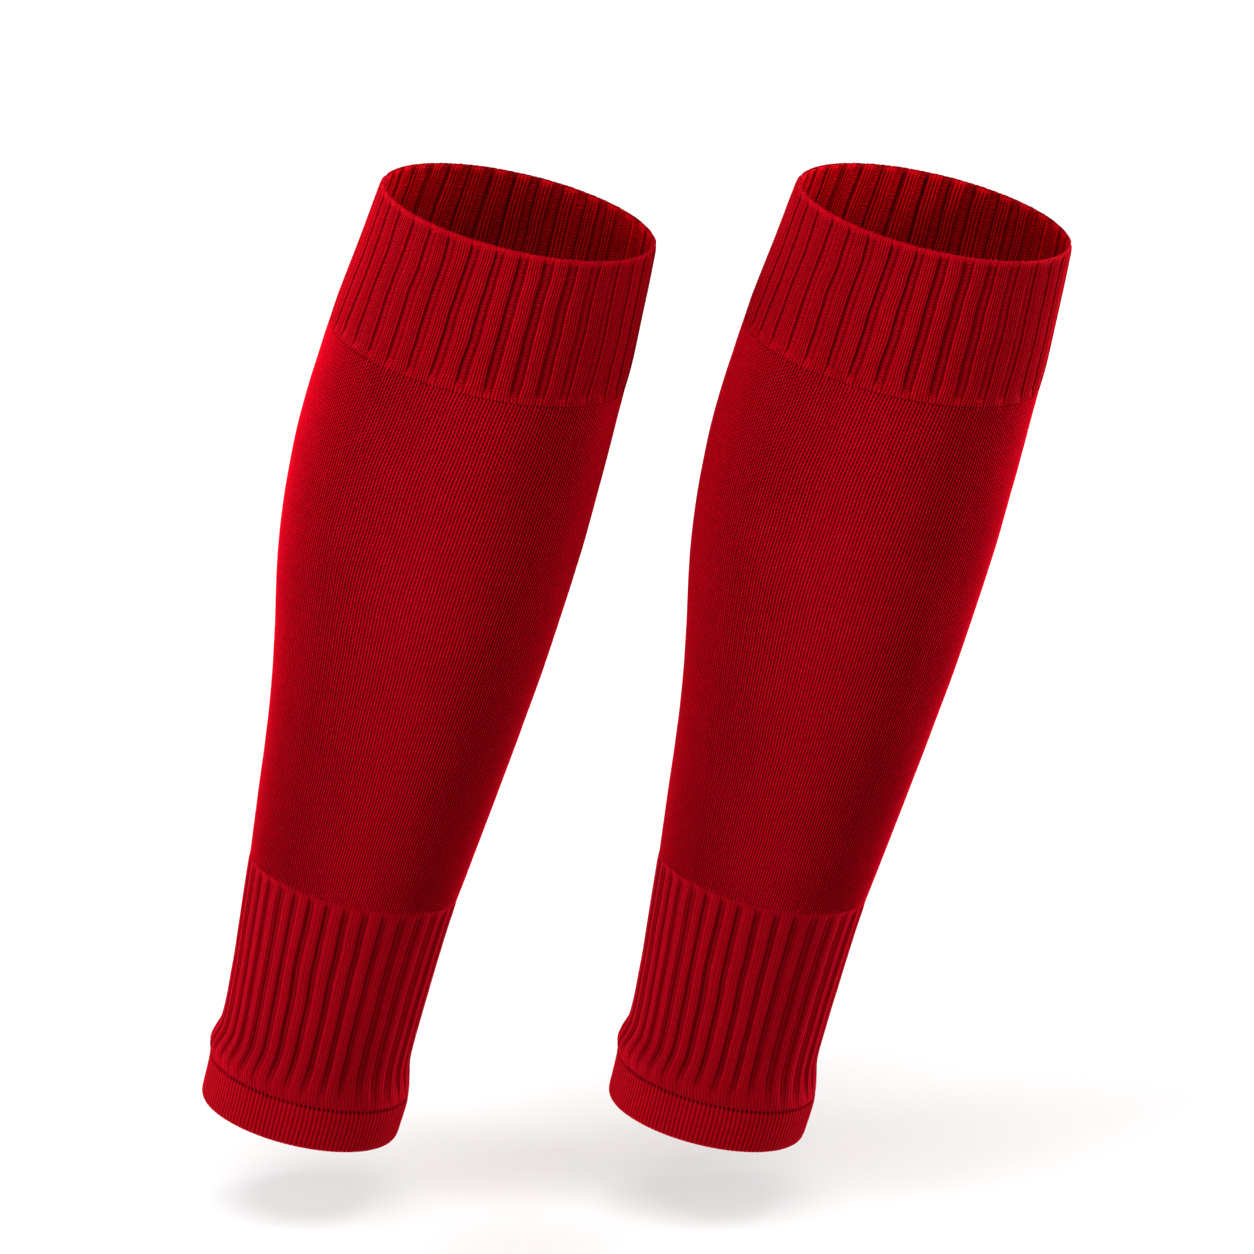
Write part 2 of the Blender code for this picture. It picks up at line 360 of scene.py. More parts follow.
def strand_places(name, strands):
    """A point for each strand round the leg, with the ways out of the cloth and along the strand."""
    points, vectors = [], {"outward": [], "along": []}
    for i in range(WALES):
        angle = wale_place(i + 0.5, STRAND_GATHER, strands.station)
        points.append(wall_place(section_at(strands.station), angle, strands.inset))
        level = math.cos(strands.tilt)
        vectors["outward"].append(
            leaned(math.sin(angle) * level, -math.cos(angle) * level, math.sin(strands.tilt)))
        round_leg = leaned(math.cos(angle), math.sin(angle), 0.0)
        vectors["along"].append(round_leg if strands.round_leg else leaned(0.0, 0.0, -1.0))
    mesh = bpy.data.meshes.new(name)
    mesh.from_pydata([tuple(p) for p in points], [], [])
    for key, values in vectors.items():
        mesh.attributes.new(key, "FLOAT_VECTOR", "POINT").data.foreach_set(
            "vector", [c for v in values for c in v])
    piece = bpy.data.objects.new(name, mesh)
    bpy.context.collection.objects.link(piece)
    return piece


ARC_STEPS = 5
STRAND_SIDES = 6
END_TAPER = 0.55
TAPER_POWER = 3.0


def strand_tree():
    """Geometry nodes that lay a short bowed strand of yarn at each point."""
    number = "NodeSocketFloat"
    tree, given, result = new_tree(
        "yarn_strands", "GeometryNodeTree",
        (("Places", "NodeSocketGeometry"), ("Length", number), ("Thickness", number), ("Bow", number),
         ("Slant", number), ("Slant Spread", number), ("Size Spread", number), ("Seed", "NodeSocketInt"),
         ("Yarn", "NodeSocketMaterial")),
        (("Strands", "NodeSocketGeometry"),))
    strand = given.outputs
    half = times(tree, strand["Length"], 0.5)
    ends = {"Start": (times(tree, half, -1.0), 0.0), "End": (half, 0.0),
            "Middle": (0.0, times(tree, strand["Bow"], 2.0))}
    arc = tree.nodes.new("GeometryNodeCurveQuadraticBezier")
    arc.inputs["Resolution"].default_value = ARC_STEPS
    for socket, (x, z) in ends.items():
        point = tree.nodes.new("ShaderNodeCombineXYZ")
        for index, value in ((0, x), (2, z)):
            if isinstance(value, float):
                point.inputs[index].default_value = value
            else:
                tree.links.new(value, point.inputs[index])
        tree.links.new(point.outputs[0], arc.inputs[socket])
    along = tree.nodes.new("GeometryNodeSplineParameter").outputs["Factor"]
    from_middle = apart(tree, times(tree, along, 2.0), 1.0)
    taper = tree.nodes.new("GeometryNodeSetCurveRadius")
    tree.links.new(arc.outputs[0], taper.inputs["Curve"])
    narrowing = times(tree, END_TAPER, calc(tree, "POWER", from_middle, TAPER_POWER))
    tree.links.new(minus(tree, 1.0, narrowing), taper.inputs["Radius"])
    circle = tree.nodes.new("GeometryNodeCurvePrimitiveCircle")
    circle.inputs["Resolution"].default_value = STRAND_SIDES
    tree.links.new(times(tree, strand["Thickness"], 0.5), circle.inputs["Radius"])
    tube = tree.nodes.new("GeometryNodeCurveToMesh")
    tube.inputs["Fill Caps"].default_value = True
    tree.links.new(taper.outputs[0], tube.inputs["Curve"])
    tree.links.new(circle.outputs[0], tube.inputs["Profile Curve"])

    def spread(socket, seed_shift):
        """A random number of each strand, up to the socket's value either way."""
        node = tree.nodes.new("FunctionNodeRandomValue")
        node.inputs[2].default_value = -1.0
        node.inputs[3].default_value = 1.0
        tree.links.new(plus(tree, strand["Seed"], float(seed_shift)), node.inputs["Seed"])
        return times(tree, node.outputs[1], strand[socket])

    facing = tree.nodes.new("FunctionNodeAxesToRotation")
    facing.primary_axis, facing.secondary_axis = "Z", "X"
    tree.links.new(attribute(tree, "outward", "FLOAT_VECTOR"), facing.inputs["Primary Axis"])
    tree.links.new(attribute(tree, "along", "FLOAT_VECTOR"), facing.inputs["Secondary Axis"])
    slant = tree.nodes.new("FunctionNodeAxisAngleToRotation")
    slant.inputs["Axis"].default_value = (0.0, 0.0, 1.0)
    turn = plus(tree, strand["Slant"], spread("Slant Spread", 1))
    tree.links.new(turn, slant.inputs["Angle"])
    turned = tree.nodes.new("FunctionNodeRotateRotation")
    turned.rotation_space = "LOCAL"
    tree.links.new(facing.outputs[0], turned.inputs["Rotation"])
    tree.links.new(slant.outputs[0], turned.inputs["Rotate By"])
    lay = tree.nodes.new("GeometryNodeInstanceOnPoints")
    tree.links.new(strand["Places"], lay.inputs["Points"])
    tree.links.new(tube.outputs[0], lay.inputs["Instance"])
    tree.links.new(turned.outputs[0], lay.inputs["Rotation"])
    size = tree.nodes.new("ShaderNodeCombineXYZ")
    for index in range(3):
        tree.links.new(plus(tree, 1.0, spread("Size Spread", 2)), size.inputs[index])
    tree.links.new(size.outputs[0], lay.inputs["Scale"])
    realize = tree.nodes.new("GeometryNodeRealizeInstances")
    tree.links.new(lay.outputs[0], realize.inputs[0])
    smooth = tree.nodes.new("GeometryNodeSetShadeSmooth")
    tree.links.new(realize.outputs[0], smooth.inputs["Geometry"])
    dye = tree.nodes.new("GeometryNodeSetMaterial")
    tree.links.new(smooth.outputs[0], dye.inputs["Geometry"])
    tree.links.new(strand["Yarn"], dye.inputs["Material"])
    tree.links.new(dye.outputs[0], result.inputs["Strands"])
    return tree


STRAND_ROUND = strand_tree()
STITCH_YARN = strand_material("stitch_yarn", STRAND_YARN)


def stitched_round(name, strands):
    """One round of strands of the left sleeve."""
    return made_mesh(strand_places(name, strands), STRAND_ROUND, {
        "Length": strands.length, "Thickness": strands.thickness, "Bow": strands.bow, "Slant": strands.slant,
        "Slant Spread": SLANT_SPREAD, "Size Spread": SIZE_SPREAD, "Seed": strands.seed, "Yarn": STITCH_YARN})


def matching_right(piece):
    """The right sleeve's piece: the left one's mesh, moved across. Both have the same yarns."""
    mesh = piece.data.copy()
    mesh.transform(Matrix.Translation((SLEEVE_SPACING, 0.0, 0.0)))
    twin = bpy.data.objects.new(piece.name.replace("left", "right"), mesh)
    mesh.name = twin.name
    bpy.context.collection.objects.link(twin)
    return twin


rim_chain = stitched_round("left_rim_chain", RIM_CHAIN)
rim_chains = {"left": rim_chain, "right": matching_right(rim_chain)}
for chain in rim_chains.values():
    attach(chain, "root")


# ---- Top cuffs ----
# The 3x1 rib below the knee: three knit wales stand out and one purl wale draws back between them, 35
# times round. Soft acrylic and wool yarn, knitted in the round, in one with the leg, from a rolled rim.

KNIT_HALF_WIDTH = KNIT_WALES / 2
# Where a rib's columns of points lie, in wales from the start of its three knit wales
EVEN_COLUMNS = tuple(i / 4 for i in range(16))
CUFF_COLUMNS = tuple(i / 4 for i in range(12)) + tuple(3 + i / 6 for i in range(6))

# Rows of knitting down one face of the wall: depth below the leg form, how far the ribs stand out and
# their knit wales draw together, the relief of each stitch's two legs and the strength of their painted
# valley shade and dashes, and how far the row's colour is darkened evenly: painted shade in the seams'
# grooves, and darker down the leg's lower half (all shares from 0 to 1)
Row = namedtuple("Row", "station inset ribbing gather legs shade", defaults=(0.0,))
CUFF_COURSE = 1.15 * MM
CUFF_OUTSIDE = (
    Row(0.0 * MM, 1.3 * MM, 0.0, 0.8, 0.3),
    Row(0.25 * MM, 0.65 * MM, 0.1, 0.8, 0.4),
    Row(0.8 * MM, 0.2 * MM, 0.3, 0.9, 0.6),
    Row(3.0 * MM, 0.0 * MM, 1.0, 1.0, 1.0),
    Row(49.0 * MM, 0.1 * MM, 1.0, 1.0, 1.0),
    Row(53.5 * MM, 0.25 * MM, 0.95, 0.7, 1.0),
    Row(CUFF_END, 0.4 * MM, 0.0, 0.3, 1.0),
)
CUFF_INSIDE = (
    Row(0.3 * MM, 2.0 * MM, 0.2, 0.8, 0.4),
    Row(1.0 * MM, 2.4 * MM, 0.6, 0.9, 0.6),
    Row(3.0 * MM, 2.4 * MM, 1.0, 1.0, 1.0),
    Row(53.0 * MM, 2.4 * MM, 1.0, 1.0, 1.0),
    Row(CUFF_END, 2.0 * MM, 0.0, 0.3, 0.0),
)
RIB_DEPTH = 1.50 * MM
LEG_RELIEF = 0.42 * MM
RUNG_RELIEF = 0.14 * MM


def rows_along(keys, spacing):
    """Rows of a face, between its key rows, no more than a spacing apart."""
    rows = [keys[0]]
    for start, end in zip(keys, keys[1:]):
        steps = max(1, round((end.station - start.station) / spacing))
        for i in range(1, steps + 1):
            rows.append(Row(*(a + (b - a) * i / steps for a, b in zip(start, end))))
    return rows


Line = namedtuple("Line", "indices wales course")


def add_face_strip(faces, uvs, upper, lower):
    """Faces between two lines of vertices, the lower with as many or half as many.

    Each corner also gets its wale and course.
    """
    count = len(upper.indices)
    ratio = count // len(lower.indices)
    for i in range(0, count, ratio):
        start = i // ratio
        faces.append([upper.indices[(i + k) % count] for k in range(ratio, -1, -1)]
                     + [lower.indices[start], lower.indices[(start + 1) % len(lower.indices)]])
        uvs.append([(upper.wales[i + k], upper.course) for k in range(ratio, -1, -1)]
                   + [(upper.wales[i], lower.course), (upper.wales[i + ratio], lower.course)])


def knit_wall(name, outside, inside, course, columns=EVEN_COLUMNS, inside_step=1, rounded_top=False,
              rounded_bottom=False):
    """A closed tube of cloth: the outside rows from the top down, the inside rows back up.

    Each point carries its wale, course and the shares of its row, the way into the wall and the way
    round the leg, for the knit's relief. The map gives each stitch its wale and course.
    """
    points, values = [], {key: [] for key in ("wale", "course", "ribbing", "legs", "shade", "inner")}
    directions = {"into_wall": [], "round_leg": []}
    lines = []
    for inner, rows in ((0, outside), (1, reversed(inside))):
        places = columns[::inside_step if inner else 1]
        wales = [WALES_PER_RIB * rib + place for rib in range(RIBS) for place in places]
        for row in rows:
            section = section_at(row.station)
            lines.append(Line(range(len(points), len(points) + len(wales)), wales + [WALES],
                              row.station / course))
            for wale in wales:
                angle = wale_place(wale, row.gather, row.station, inner)
                points.append(wall_place(section, angle, row.inset))
                into = leaned(-math.sin(angle), math.cos(angle), 0.0)
                directions["into_wall"].append(-into if inner else into)
                directions["round_leg"].append(leaned(math.cos(angle), math.sin(angle), 0.0))
                for key, value in (("wale", wale), ("course", row.station / course),
                                   ("ribbing", row.ribbing), ("legs", row.legs), ("shade", row.shade),
                                   ("inner", inner)):
                    values[key].append(value)
    faces, uvs, flat = [], [], []
    for k, (upper, lower) in enumerate(zip(lines, lines[1:] + lines[:1])):
        before = len(faces)
        if len(lower.indices) > len(upper.indices):
            add_face_strip(faces, uvs, lower, upper)
            for i in range(before, len(faces)):
                faces[i].reverse()
                uvs[i].reverse()
        else:
            add_face_strip(faces, uvs, upper, lower)
        is_bottom = k == len(outside) - 1
        is_top = k == len(lines) - 1
        cut_end = (is_bottom and not rounded_bottom) or (is_top and not rounded_top)
        flat += [cut_end] * (len(faces) - before)
    mesh = bpy.data.meshes.new(name)
    mesh.from_pydata([tuple(p) for p in points], [], faces)
    mesh.polygons.foreach_set("use_smooth", [not f for f in flat])
    layer = mesh.uv_layers.new(name="knit")
    layer.data.foreach_set("uv", [c for face in uvs for corner in face for c in corner])
    for key, numbers in values.items():
        mesh.attributes.new(key, "FLOAT", "POINT").data.foreach_set("value", numbers)
    for key, vectors in directions.items():
        mesh.attributes.new(key, "FLOAT_VECTOR", "POINT").data.foreach_set(
            "vector", [c for v in vectors for c in v])
    piece = bpy.data.objects.new(name, mesh)
    bpy.context.collection.objects.link(piece)
    return piece


def smooth_range(tree, value, start, end, low=0.0, high=1.0):
    """A value's smooth step from low at start to high at end. Each of these is a socket or a number."""
    node = tree.nodes.new("ShaderNodeMapRange")
    node.interpolation_type = "SMOOTHSTEP"
    for name, given in (("Value", value), ("From Min", start), ("From Max", end), ("To Min", low),
                        ("To Max", high)):
        if isinstance(given, (int, float)):
            node.inputs[name].default_value = given
        else:
            tree.links.new(given, node.inputs[name])
    return node.outputs["Result"]


def wave(tree, turns):
    """A cosine wave between 0 and 1, at 1 on each whole turn."""
    cosine = calc(tree, "COSINE", times(tree, turns, math.tau))
    return plus(tree, times(tree, cosine, 0.5), 0.5)


def rib_places(tree, wale, inside):
    """A wale's phase in its rib, on either face, and its distance from the middle of the knit wales."""
    shifted = minus(tree, wale, times(tree, inside, INSIDE_SHIFT))
    phase = times(tree, calc(tree, "FRACT", calc(tree, "DIVIDE", shifted, WALES_PER_RIB)), WALES_PER_RIB)
    off = calc(tree, "MINIMUM", apart(tree, phase, KNIT_HALF_WIDTH),
               apart(tree, phase, KNIT_HALF_WIDTH + WALES_PER_RIB))
    return phase, off


# The purl rungs' shape: how far each is arched, and the scale and size of their uneven curls, in courses
RUNG_ARCH = 0.5
CURL_SCALE_ROUND = 1.1
CURL_SCALE_DOWN = 0.30
CURL_SIZE = 2.6


def rung_place(tree, wale, course):
    """Courses counted along the arched and uneven rungs of the purl wales."""
    stitch = tree.nodes.new("ShaderNodeCombineXYZ")
    for index, value in enumerate((times(tree, wale, CURL_SCALE_ROUND),
                                   times(tree, course, CURL_SCALE_DOWN))):
        tree.links.new(value, stitch.inputs[index])
    curl = tree.nodes.new("ShaderNodeTexNoise")
    curl.inputs["Scale"].default_value = 1.0
    curl.inputs["Detail"].default_value = 1.0
    tree.links.new(stitch.outputs[0], curl.inputs["Vector"])
    arch = apart(tree, calc(tree, "FRACT", wale), 0.5)
    bend = plus(tree, times(tree, arch, RUNG_ARCH), times(tree, curl.outputs[0], CURL_SIZE))
    return plus(tree, course, bend)


def added(tree, first, second):
    """The sum of two vectors, in a tree."""
    node = tree.nodes.new("ShaderNodeVectorMath")
    tree.links.new(first, node.inputs[0])
    tree.links.new(second, node.inputs[1])
    return node.outputs[0]


def slow_noise(tree, scale, seed_shift):
    """Noise over the cloth's place, from about -1 to 1: raw noise stays near 0.5, so it is stretched."""
    place = tree.nodes.new("GeometryNodeInputPosition")
    node = tree.nodes.new("ShaderNodeTexNoise")
    node.noise_dimensions = "4D"
    node.inputs["W"].default_value = seed_shift
    node.inputs["Detail"].default_value = 1.5
    tree.links.new(place.outputs[0], node.inputs["Vector"])
    tree.links.new(scale, node.inputs["Scale"])
    return times(tree, minus(tree, node.outputs[0], 0.5), 3.0)


# In wales from the middle of a rib: the foot of its side, the middle of the groove beside it, and where the
# knit wales' relief fades out
RIB_FOOT = 1.68
GROOVE_MIDDLE = 1.95
KNIT_FADE = 1.6
# A face whose corners lie further inside than this share is the lining's
LINING_SHARE = 0.6
UNEVENNESS_SEED = 3.0
WANDER_SEED = 7.0


def relief_tree():
    """Geometry nodes that carve ribs, stitch legs and purl rungs into a wall of rows and wales."""
    length = "NodeSocketFloat"
    tree, given, result = new_tree(
        "knit_relief", "GeometryNodeTree",
        (("Wall", "NodeSocketGeometry"), ("Rib Depth", length), ("Crest Half Width", length),
         ("Purl Rise", length), ("Leg Relief", length), ("Lines Per Wale", length),
         ("Inside Lines Per Wale", length), ("Rung Relief", length), ("Fine Rib Relief", length),
         ("Rib Wander", length), ("Wander Scale", length), ("Unevenness", length),
         ("Unevenness Scale", length),
         ("Outside Yarn", "NodeSocketMaterial"), ("Inside Yarn", "NodeSocketMaterial")),
        (("Knit", "NodeSocketGeometry"),))
    size = given.outputs
    wale, course = attribute(tree, "wale"), attribute(tree, "course")
    ribbing, legs = attribute(tree, "ribbing"), attribute(tree, "legs")
    inner = attribute(tree, "inner")
    outer = minus(tree, 1.0, inner)
    off = rib_places(tree, wale, inner)[1]
    crest = smooth_range(tree, off, RIB_FOOT, size["Crest Half Width"])
    purl_rise = smooth_range(tree, off, RIB_FOOT, GROOVE_MIDDLE, 0.0, size["Purl Rise"])
    sunk = minus(tree, 1.0, plus(tree, crest, purl_rise))
    rib_knit = times(tree, ribbing, smooth_range(tree, off, KNIT_FADE, KNIT_HALF_WIDTH))
    knit = plus(tree, rib_knit, times(tree, minus(tree, 1.0, ribbing), outer))
    lines = times(tree, wale, plus(tree, times(tree, size["Lines Per Wale"], outer),
                                   times(tree, size["Inside Lines Per Wale"], inner)))
    leg_valleys = times(tree, knit, wave(tree, lines))
    rung_valleys = times(tree, minus(tree, 1.0, knit), wave(tree, rung_place(tree, wale, course)))
    carved = plus(tree, plus(tree, times(tree, size["Rib Depth"], times(tree, ribbing, sunk)),
                             times(tree, size["Leg Relief"], times(tree, legs, leg_valleys))),
                  plus(tree, times(tree, size["Rung Relief"], rung_valleys),
                       times(tree, size["Fine Rib Relief"], times(tree, legs, wave(tree, wale)))))
    outward = minus(tree, times(tree, inner, 2.0), 1.0)
    uneven = times(tree, slow_noise(tree, size["Unevenness Scale"], UNEVENNESS_SEED), size["Unevenness"])
    uneven = times(tree, uneven, outward)
    into_wall = attribute(tree, "into_wall", "FLOAT_VECTOR")
    wander = times(tree, slow_noise(tree, size["Wander Scale"], WANDER_SEED), size["Rib Wander"])
    move = added(tree, scaled(tree, into_wall, plus(tree, carved, uneven)),
                 scaled(tree, attribute(tree, "round_leg", "FLOAT_VECTOR"), wander))
    place = tree.nodes.new("GeometryNodeSetPosition")
    tree.links.new(size["Wall"], place.inputs["Geometry"])
    tree.links.new(move, place.inputs["Offset"])
    realize = tree.nodes.new("GeometryNodeRealizeInstances")
    tree.links.new(place.outputs[0], realize.inputs[0])
    outside = tree.nodes.new("GeometryNodeSetMaterial")
    tree.links.new(realize.outputs[0], outside.inputs["Geometry"])
    tree.links.new(size["Outside Yarn"], outside.inputs["Material"])
    inside = tree.nodes.new("GeometryNodeSetMaterial")
    tree.links.new(outside.outputs[0], inside.inputs["Geometry"])
    tree.links.new(calc(tree, "GREATER_THAN", inner, LINING_SHARE), inside.inputs["Selection"])
    tree.links.new(size["Inside Yarn"], inside.inputs["Material"])
    tree.links.new(inside.outputs[0], result.inputs["Knit"])
    return tree


# Painted shade in the gaps between stitches. Each pair is the distance at which the shade starts and at
# which it is
# full: from a valley between two lines of legs, in lines, and from the middle between two rungs, in courses
VALLEY_EDGES = (0.46, 0.14)
RUNG_GAP_EDGES = (0.42, 0.08)
ODD_VALLEY_EASE = 0.10
# The leaning waists that part one stitch of a line from the next, darkened with painted shade
WAIST_LEAN = 0.6
WAIST_SHARPNESS = 8.0
WAIST_SHADE = 0.35
# Painted shade in the creases down both sides of a rib's groove, each with its middle in wales of the rib,
# where it starts and is full, and how dark it is: the first, at the knit rib's edge, darker as a painted
# shadow of the rib in light from the left. Then the low ridge of purl between them, where the groove's
# painted shade is lighter, and where the groove's painted shade and the purl wale begin, in wales from the
# rib's middle
CreaseShade = namedtuple("CreaseShade", "phase start full depth")
CREASE_SHADES = (CreaseShade(3.07, 0.25, 0.06, 0.92), CreaseShade(3.95, 0.16, 0.04, 0.55))
RIDGE_PHASE = 3.58
RIDGE_EDGES = (0.04, 0.26)
RIDGE_SHADE = 0.55
GROOVE_EDGES = (1.45, 1.65)
PURL_EDGES = (1.45, 1.58)


def stitch_group():
    """Shader group: height, and a mask of painted shade in the gaps of knit legs and purl rungs and in the
    ribs' creases and grooves, from a stitch's wale and course.
    """
    number = "NodeSocketFloat"
    tree, given, result = new_tree(
        "knit_stitches", "ShaderNodeTree",
        (("Wale", number), ("Course", number), ("Ribbing", number), ("Inside", number),
         ("Lines Per Wale", number), ("Valley Shade", number), ("Dashes", number), ("Rung Shade", number),
         ("Groove Shade", number)),
        (("Height", number), ("Gap", number)))
    share = given.outputs
    wale, course, ribbing = share["Wale"], share["Course"], share["Ribbing"]
    phase, off = rib_places(tree, wale, share["Inside"])
    purl = plus(tree, times(tree, ribbing, smooth_range(tree, off, *PURL_EDGES)),
                times(tree, minus(tree, 1.0, ribbing), share["Inside"]))

    lines = times(tree, wale, share["Lines Per Wale"])
    valley = smooth_range(tree, calc(tree, "PINGPONG", lines, 0.5), *VALLEY_EDGES)
    odd_valley = calc(tree, "MODULO", calc(tree, "ROUND", lines), 2.0)
    dash = wave(tree, plus(tree, course, times(tree, 0.5, odd_valley)))
    evenness = minus(tree, 1.0, times(tree, share["Dashes"], dash))
    strength = times(tree, share["Valley Shade"],
                     minus(tree, 1.0, times(tree, odd_valley, ODD_VALLEY_EASE)))
    odd_line = calc(tree, "MODULO", calc(tree, "FLOOR", lines), 2.0)
    across = minus(tree, calc(tree, "FRACT", lines), 0.5)
    lean = times(tree, minus(tree, times(tree, odd_line, 2.0), 1.0), across)
    leaning_course = plus(tree, course, times(tree, lean, WAIST_LEAN))
    waist = calc(tree, "ABSOLUTE", calc(tree, "COSINE", times(tree, math.pi, leaning_course)))
    waist = calc(tree, "POWER", waist, WAIST_SHARPNESS)
    # Painted shade in the valleys between lines of legs, broken into dashes, and at the waists
    knit_gap = plus(tree, times(tree, valley, times(tree, evenness, strength)),
                    times(tree, times(tree, waist, share["Dashes"]), WAIST_SHADE))

    # Painted shade between the purl rungs
    rung = calc(tree, "PINGPONG", rung_place(tree, wale, course), 0.5)
    purl_gap = smooth_range(tree, rung, *RUNG_GAP_EDGES, 0.0, share["Rung Shade"])
    gap_mix = tree.nodes.new("ShaderNodeMix")
    tree.links.new(purl, gap_mix.inputs["Factor"])
    tree.links.new(knit_gap, gap_mix.inputs["A"])
    tree.links.new(purl_gap, gap_mix.inputs["B"])

    # Painted shade in the creases; the one at the knit rib's edge is a painted shadow of the rib
    crease_shade = times(tree, ribbing, plus(tree, *(
        smooth_range(tree, apart(tree, phase, c.phase), c.start, c.full, 0.0, c.depth) for c in CREASE_SHADES)))
    # Painted shade down each groove, lighter over the purl ridge in its middle
    ridge = smooth_range(tree, apart(tree, phase, RIDGE_PHASE), *RIDGE_EDGES, RIDGE_SHADE, 1.0)
    groove = times(tree, times(tree, ribbing, smooth_range(tree, off, *GROOVE_EDGES)),
                  times(tree, share["Groove Shade"], ridge))
    gap = calc(tree, "MAXIMUM", groove, calc(tree, "MAXIMUM", gap_mix.outputs["Result"], crease_shade))
    tree.links.new(minus(tree, 1.0, gap), result.inputs["Height"])
    tree.links.new(gap, result.inputs["Gap"])
    return tree


STITCHES = stitch_group()
# Shares are from 0 to 1. Lines are rows of stitch legs, and bumps are heights. The gap strength and the
# valley, dash, rung and groove shades set how dark the painted shade lies in each
Yarn = namedtuple("Yarn", "colour gap_strength lines_per_wale valley_shade dashes rung_shade groove_shade "
                          "bump fuzz_bump roughness sheen")


def knit_material(name, yarn, inside=0.0):
    """Knitted yarn that reads each stitch's wale and course from the piece's map."""
    material, shader, dyed = yarn_material(name, yarn, FUZZ_SCALE)
    tree = material.node_tree
    stitch_map = tree.nodes.new("ShaderNodeUVMap")
    stitch_map.uv_map = "knit"
    split = tree.nodes.new("ShaderNodeSeparateXYZ")
    tree.links.new(stitch_map.outputs[0], split.inputs[0])
    shares = {}
    for share in ("ribbing", "legs", "shade"):
        node = tree.nodes.new("ShaderNodeAttribute")
        node.attribute_name = share
        shares[share] = node.outputs["Fac"]
    stitches = group_node(tree, STITCHES)
    for group in (stitches, dyed):
        tree.links.new(split.outputs[0], group.inputs["Wale"])
        tree.links.new(split.outputs[1], group.inputs["Course"])
    tree.links.new(shares["ribbing"], stitches.inputs["Ribbing"])
    stitches.inputs["Inside"].default_value = inside
    stitches.inputs["Lines Per Wale"].default_value = yarn.lines_per_wale
    valley_shade = times(tree, shares["legs"], yarn.valley_shade)
    tree.links.new(valley_shade, stitches.inputs["Valley Shade"])
    dashes = times(tree, calc(tree, "POWER", shares["legs"], 2.0), yarn.dashes)
    tree.links.new(dashes, stitches.inputs["Dashes"])
    stitches.inputs["Rung Shade"].default_value = yarn.rung_shade
    stitches.inputs["Groove Shade"].default_value = yarn.groove_shade
    dyed.inputs["Gap Strength"].default_value = yarn.gap_strength
    # The row's even darkening is added to the stitches' painted shade in the gap mask
    gap = calc(tree, "MINIMUM", 1.0, plus(tree, stitches.outputs["Gap"], shares["shade"]))
    tree.links.new(gap, dyed.inputs["Gap"])
    normal = bumped(tree, stitches.outputs["Height"], yarn.bump)
    tree.links.new(bumped(tree, dyed.outputs["Fuzz"], yarn.fuzz_bump, normal), shader.inputs["Normal"])
    return material


def declare_knit(pieces, node):
    """Attaches each sleeve's piece to the root body and hides the part of the model that it stands for.

    The sleeve is stretched over the leg: the yarn gives, so each zone's relaxed girth is smaller.
    """
    for side, piece in pieces.items():
        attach(piece, "root")
        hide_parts(f"{side}_{node}")


RELIEF = relief_tree()
WANDER = {"Rib Wander": 0.55 * MM, "Wander Scale": 42.0, "Unevenness": 0.22 * MM, "Unevenness Scale": 30.0}
CUFF_WANDER = {**WANDER, "Rib Wander": 1.0 * MM, "Wander Scale": 46.0}
CUFF_YARN = Yarn(
    colour=(0.39, 0.0004, 0.0060), gap_strength=0.97, lines_per_wale=2.0, valley_shade=0.95, dashes=0.30,
    rung_shade=0.80, groove_shade=0.74, bump=0.60 * MM, fuzz_bump=0.10 * MM, roughness=0.85, sheen=0.30)
# The lining is the same yarn drawn over twice as light: painted light for the light shining through the thin
# wall
CUFF_LINING_YARN = Yarn(
    colour=(0.88, 0.0005, 0.0080), gap_strength=0.97, lines_per_wale=4 / 3, valley_shade=0.90, dashes=0.30,
    rung_shade=0.80, groove_shade=0.50, bump=0.60 * MM, fuzz_bump=0.10 * MM, roughness=0.85, sheen=0.15)

cuff = knit_wall("left_cuff_knit", rows_along(CUFF_OUTSIDE, CUFF_COURSE / 2),
                 rows_along(CUFF_INSIDE, 1.5 * CUFF_COURSE), CUFF_COURSE, CUFF_COLUMNS, rounded_top=True)
made_mesh(cuff, RELIEF, {
    "Rib Depth": RIB_DEPTH, "Crest Half Width": 1.0, "Purl Rise": 0.40, "Leg Relief": LEG_RELIEF,
    "Lines Per Wale": 2.0, "Inside Lines Per Wale": 4 / 3, "Rung Relief": RUNG_RELIEF, **CUFF_WANDER,
    "Outside Yarn": knit_material("cuff_yarn", CUFF_YARN),
    "Inside Yarn": knit_material("cuff_inside_yarn", CUFF_LINING_YARN, inside=1.0)})
cuffs = {"left": cuff, "right": matching_right(cuff)}
declare_knit(cuffs, "top_cuff")


# ---- Legs ----
# Plain knit over the calf, 140 wales round and about 126 courses long, that stretches with the leg's form.
# Each stitch shows as a V of two legs outside and as a rung inside. Knitted in one with the cuff.

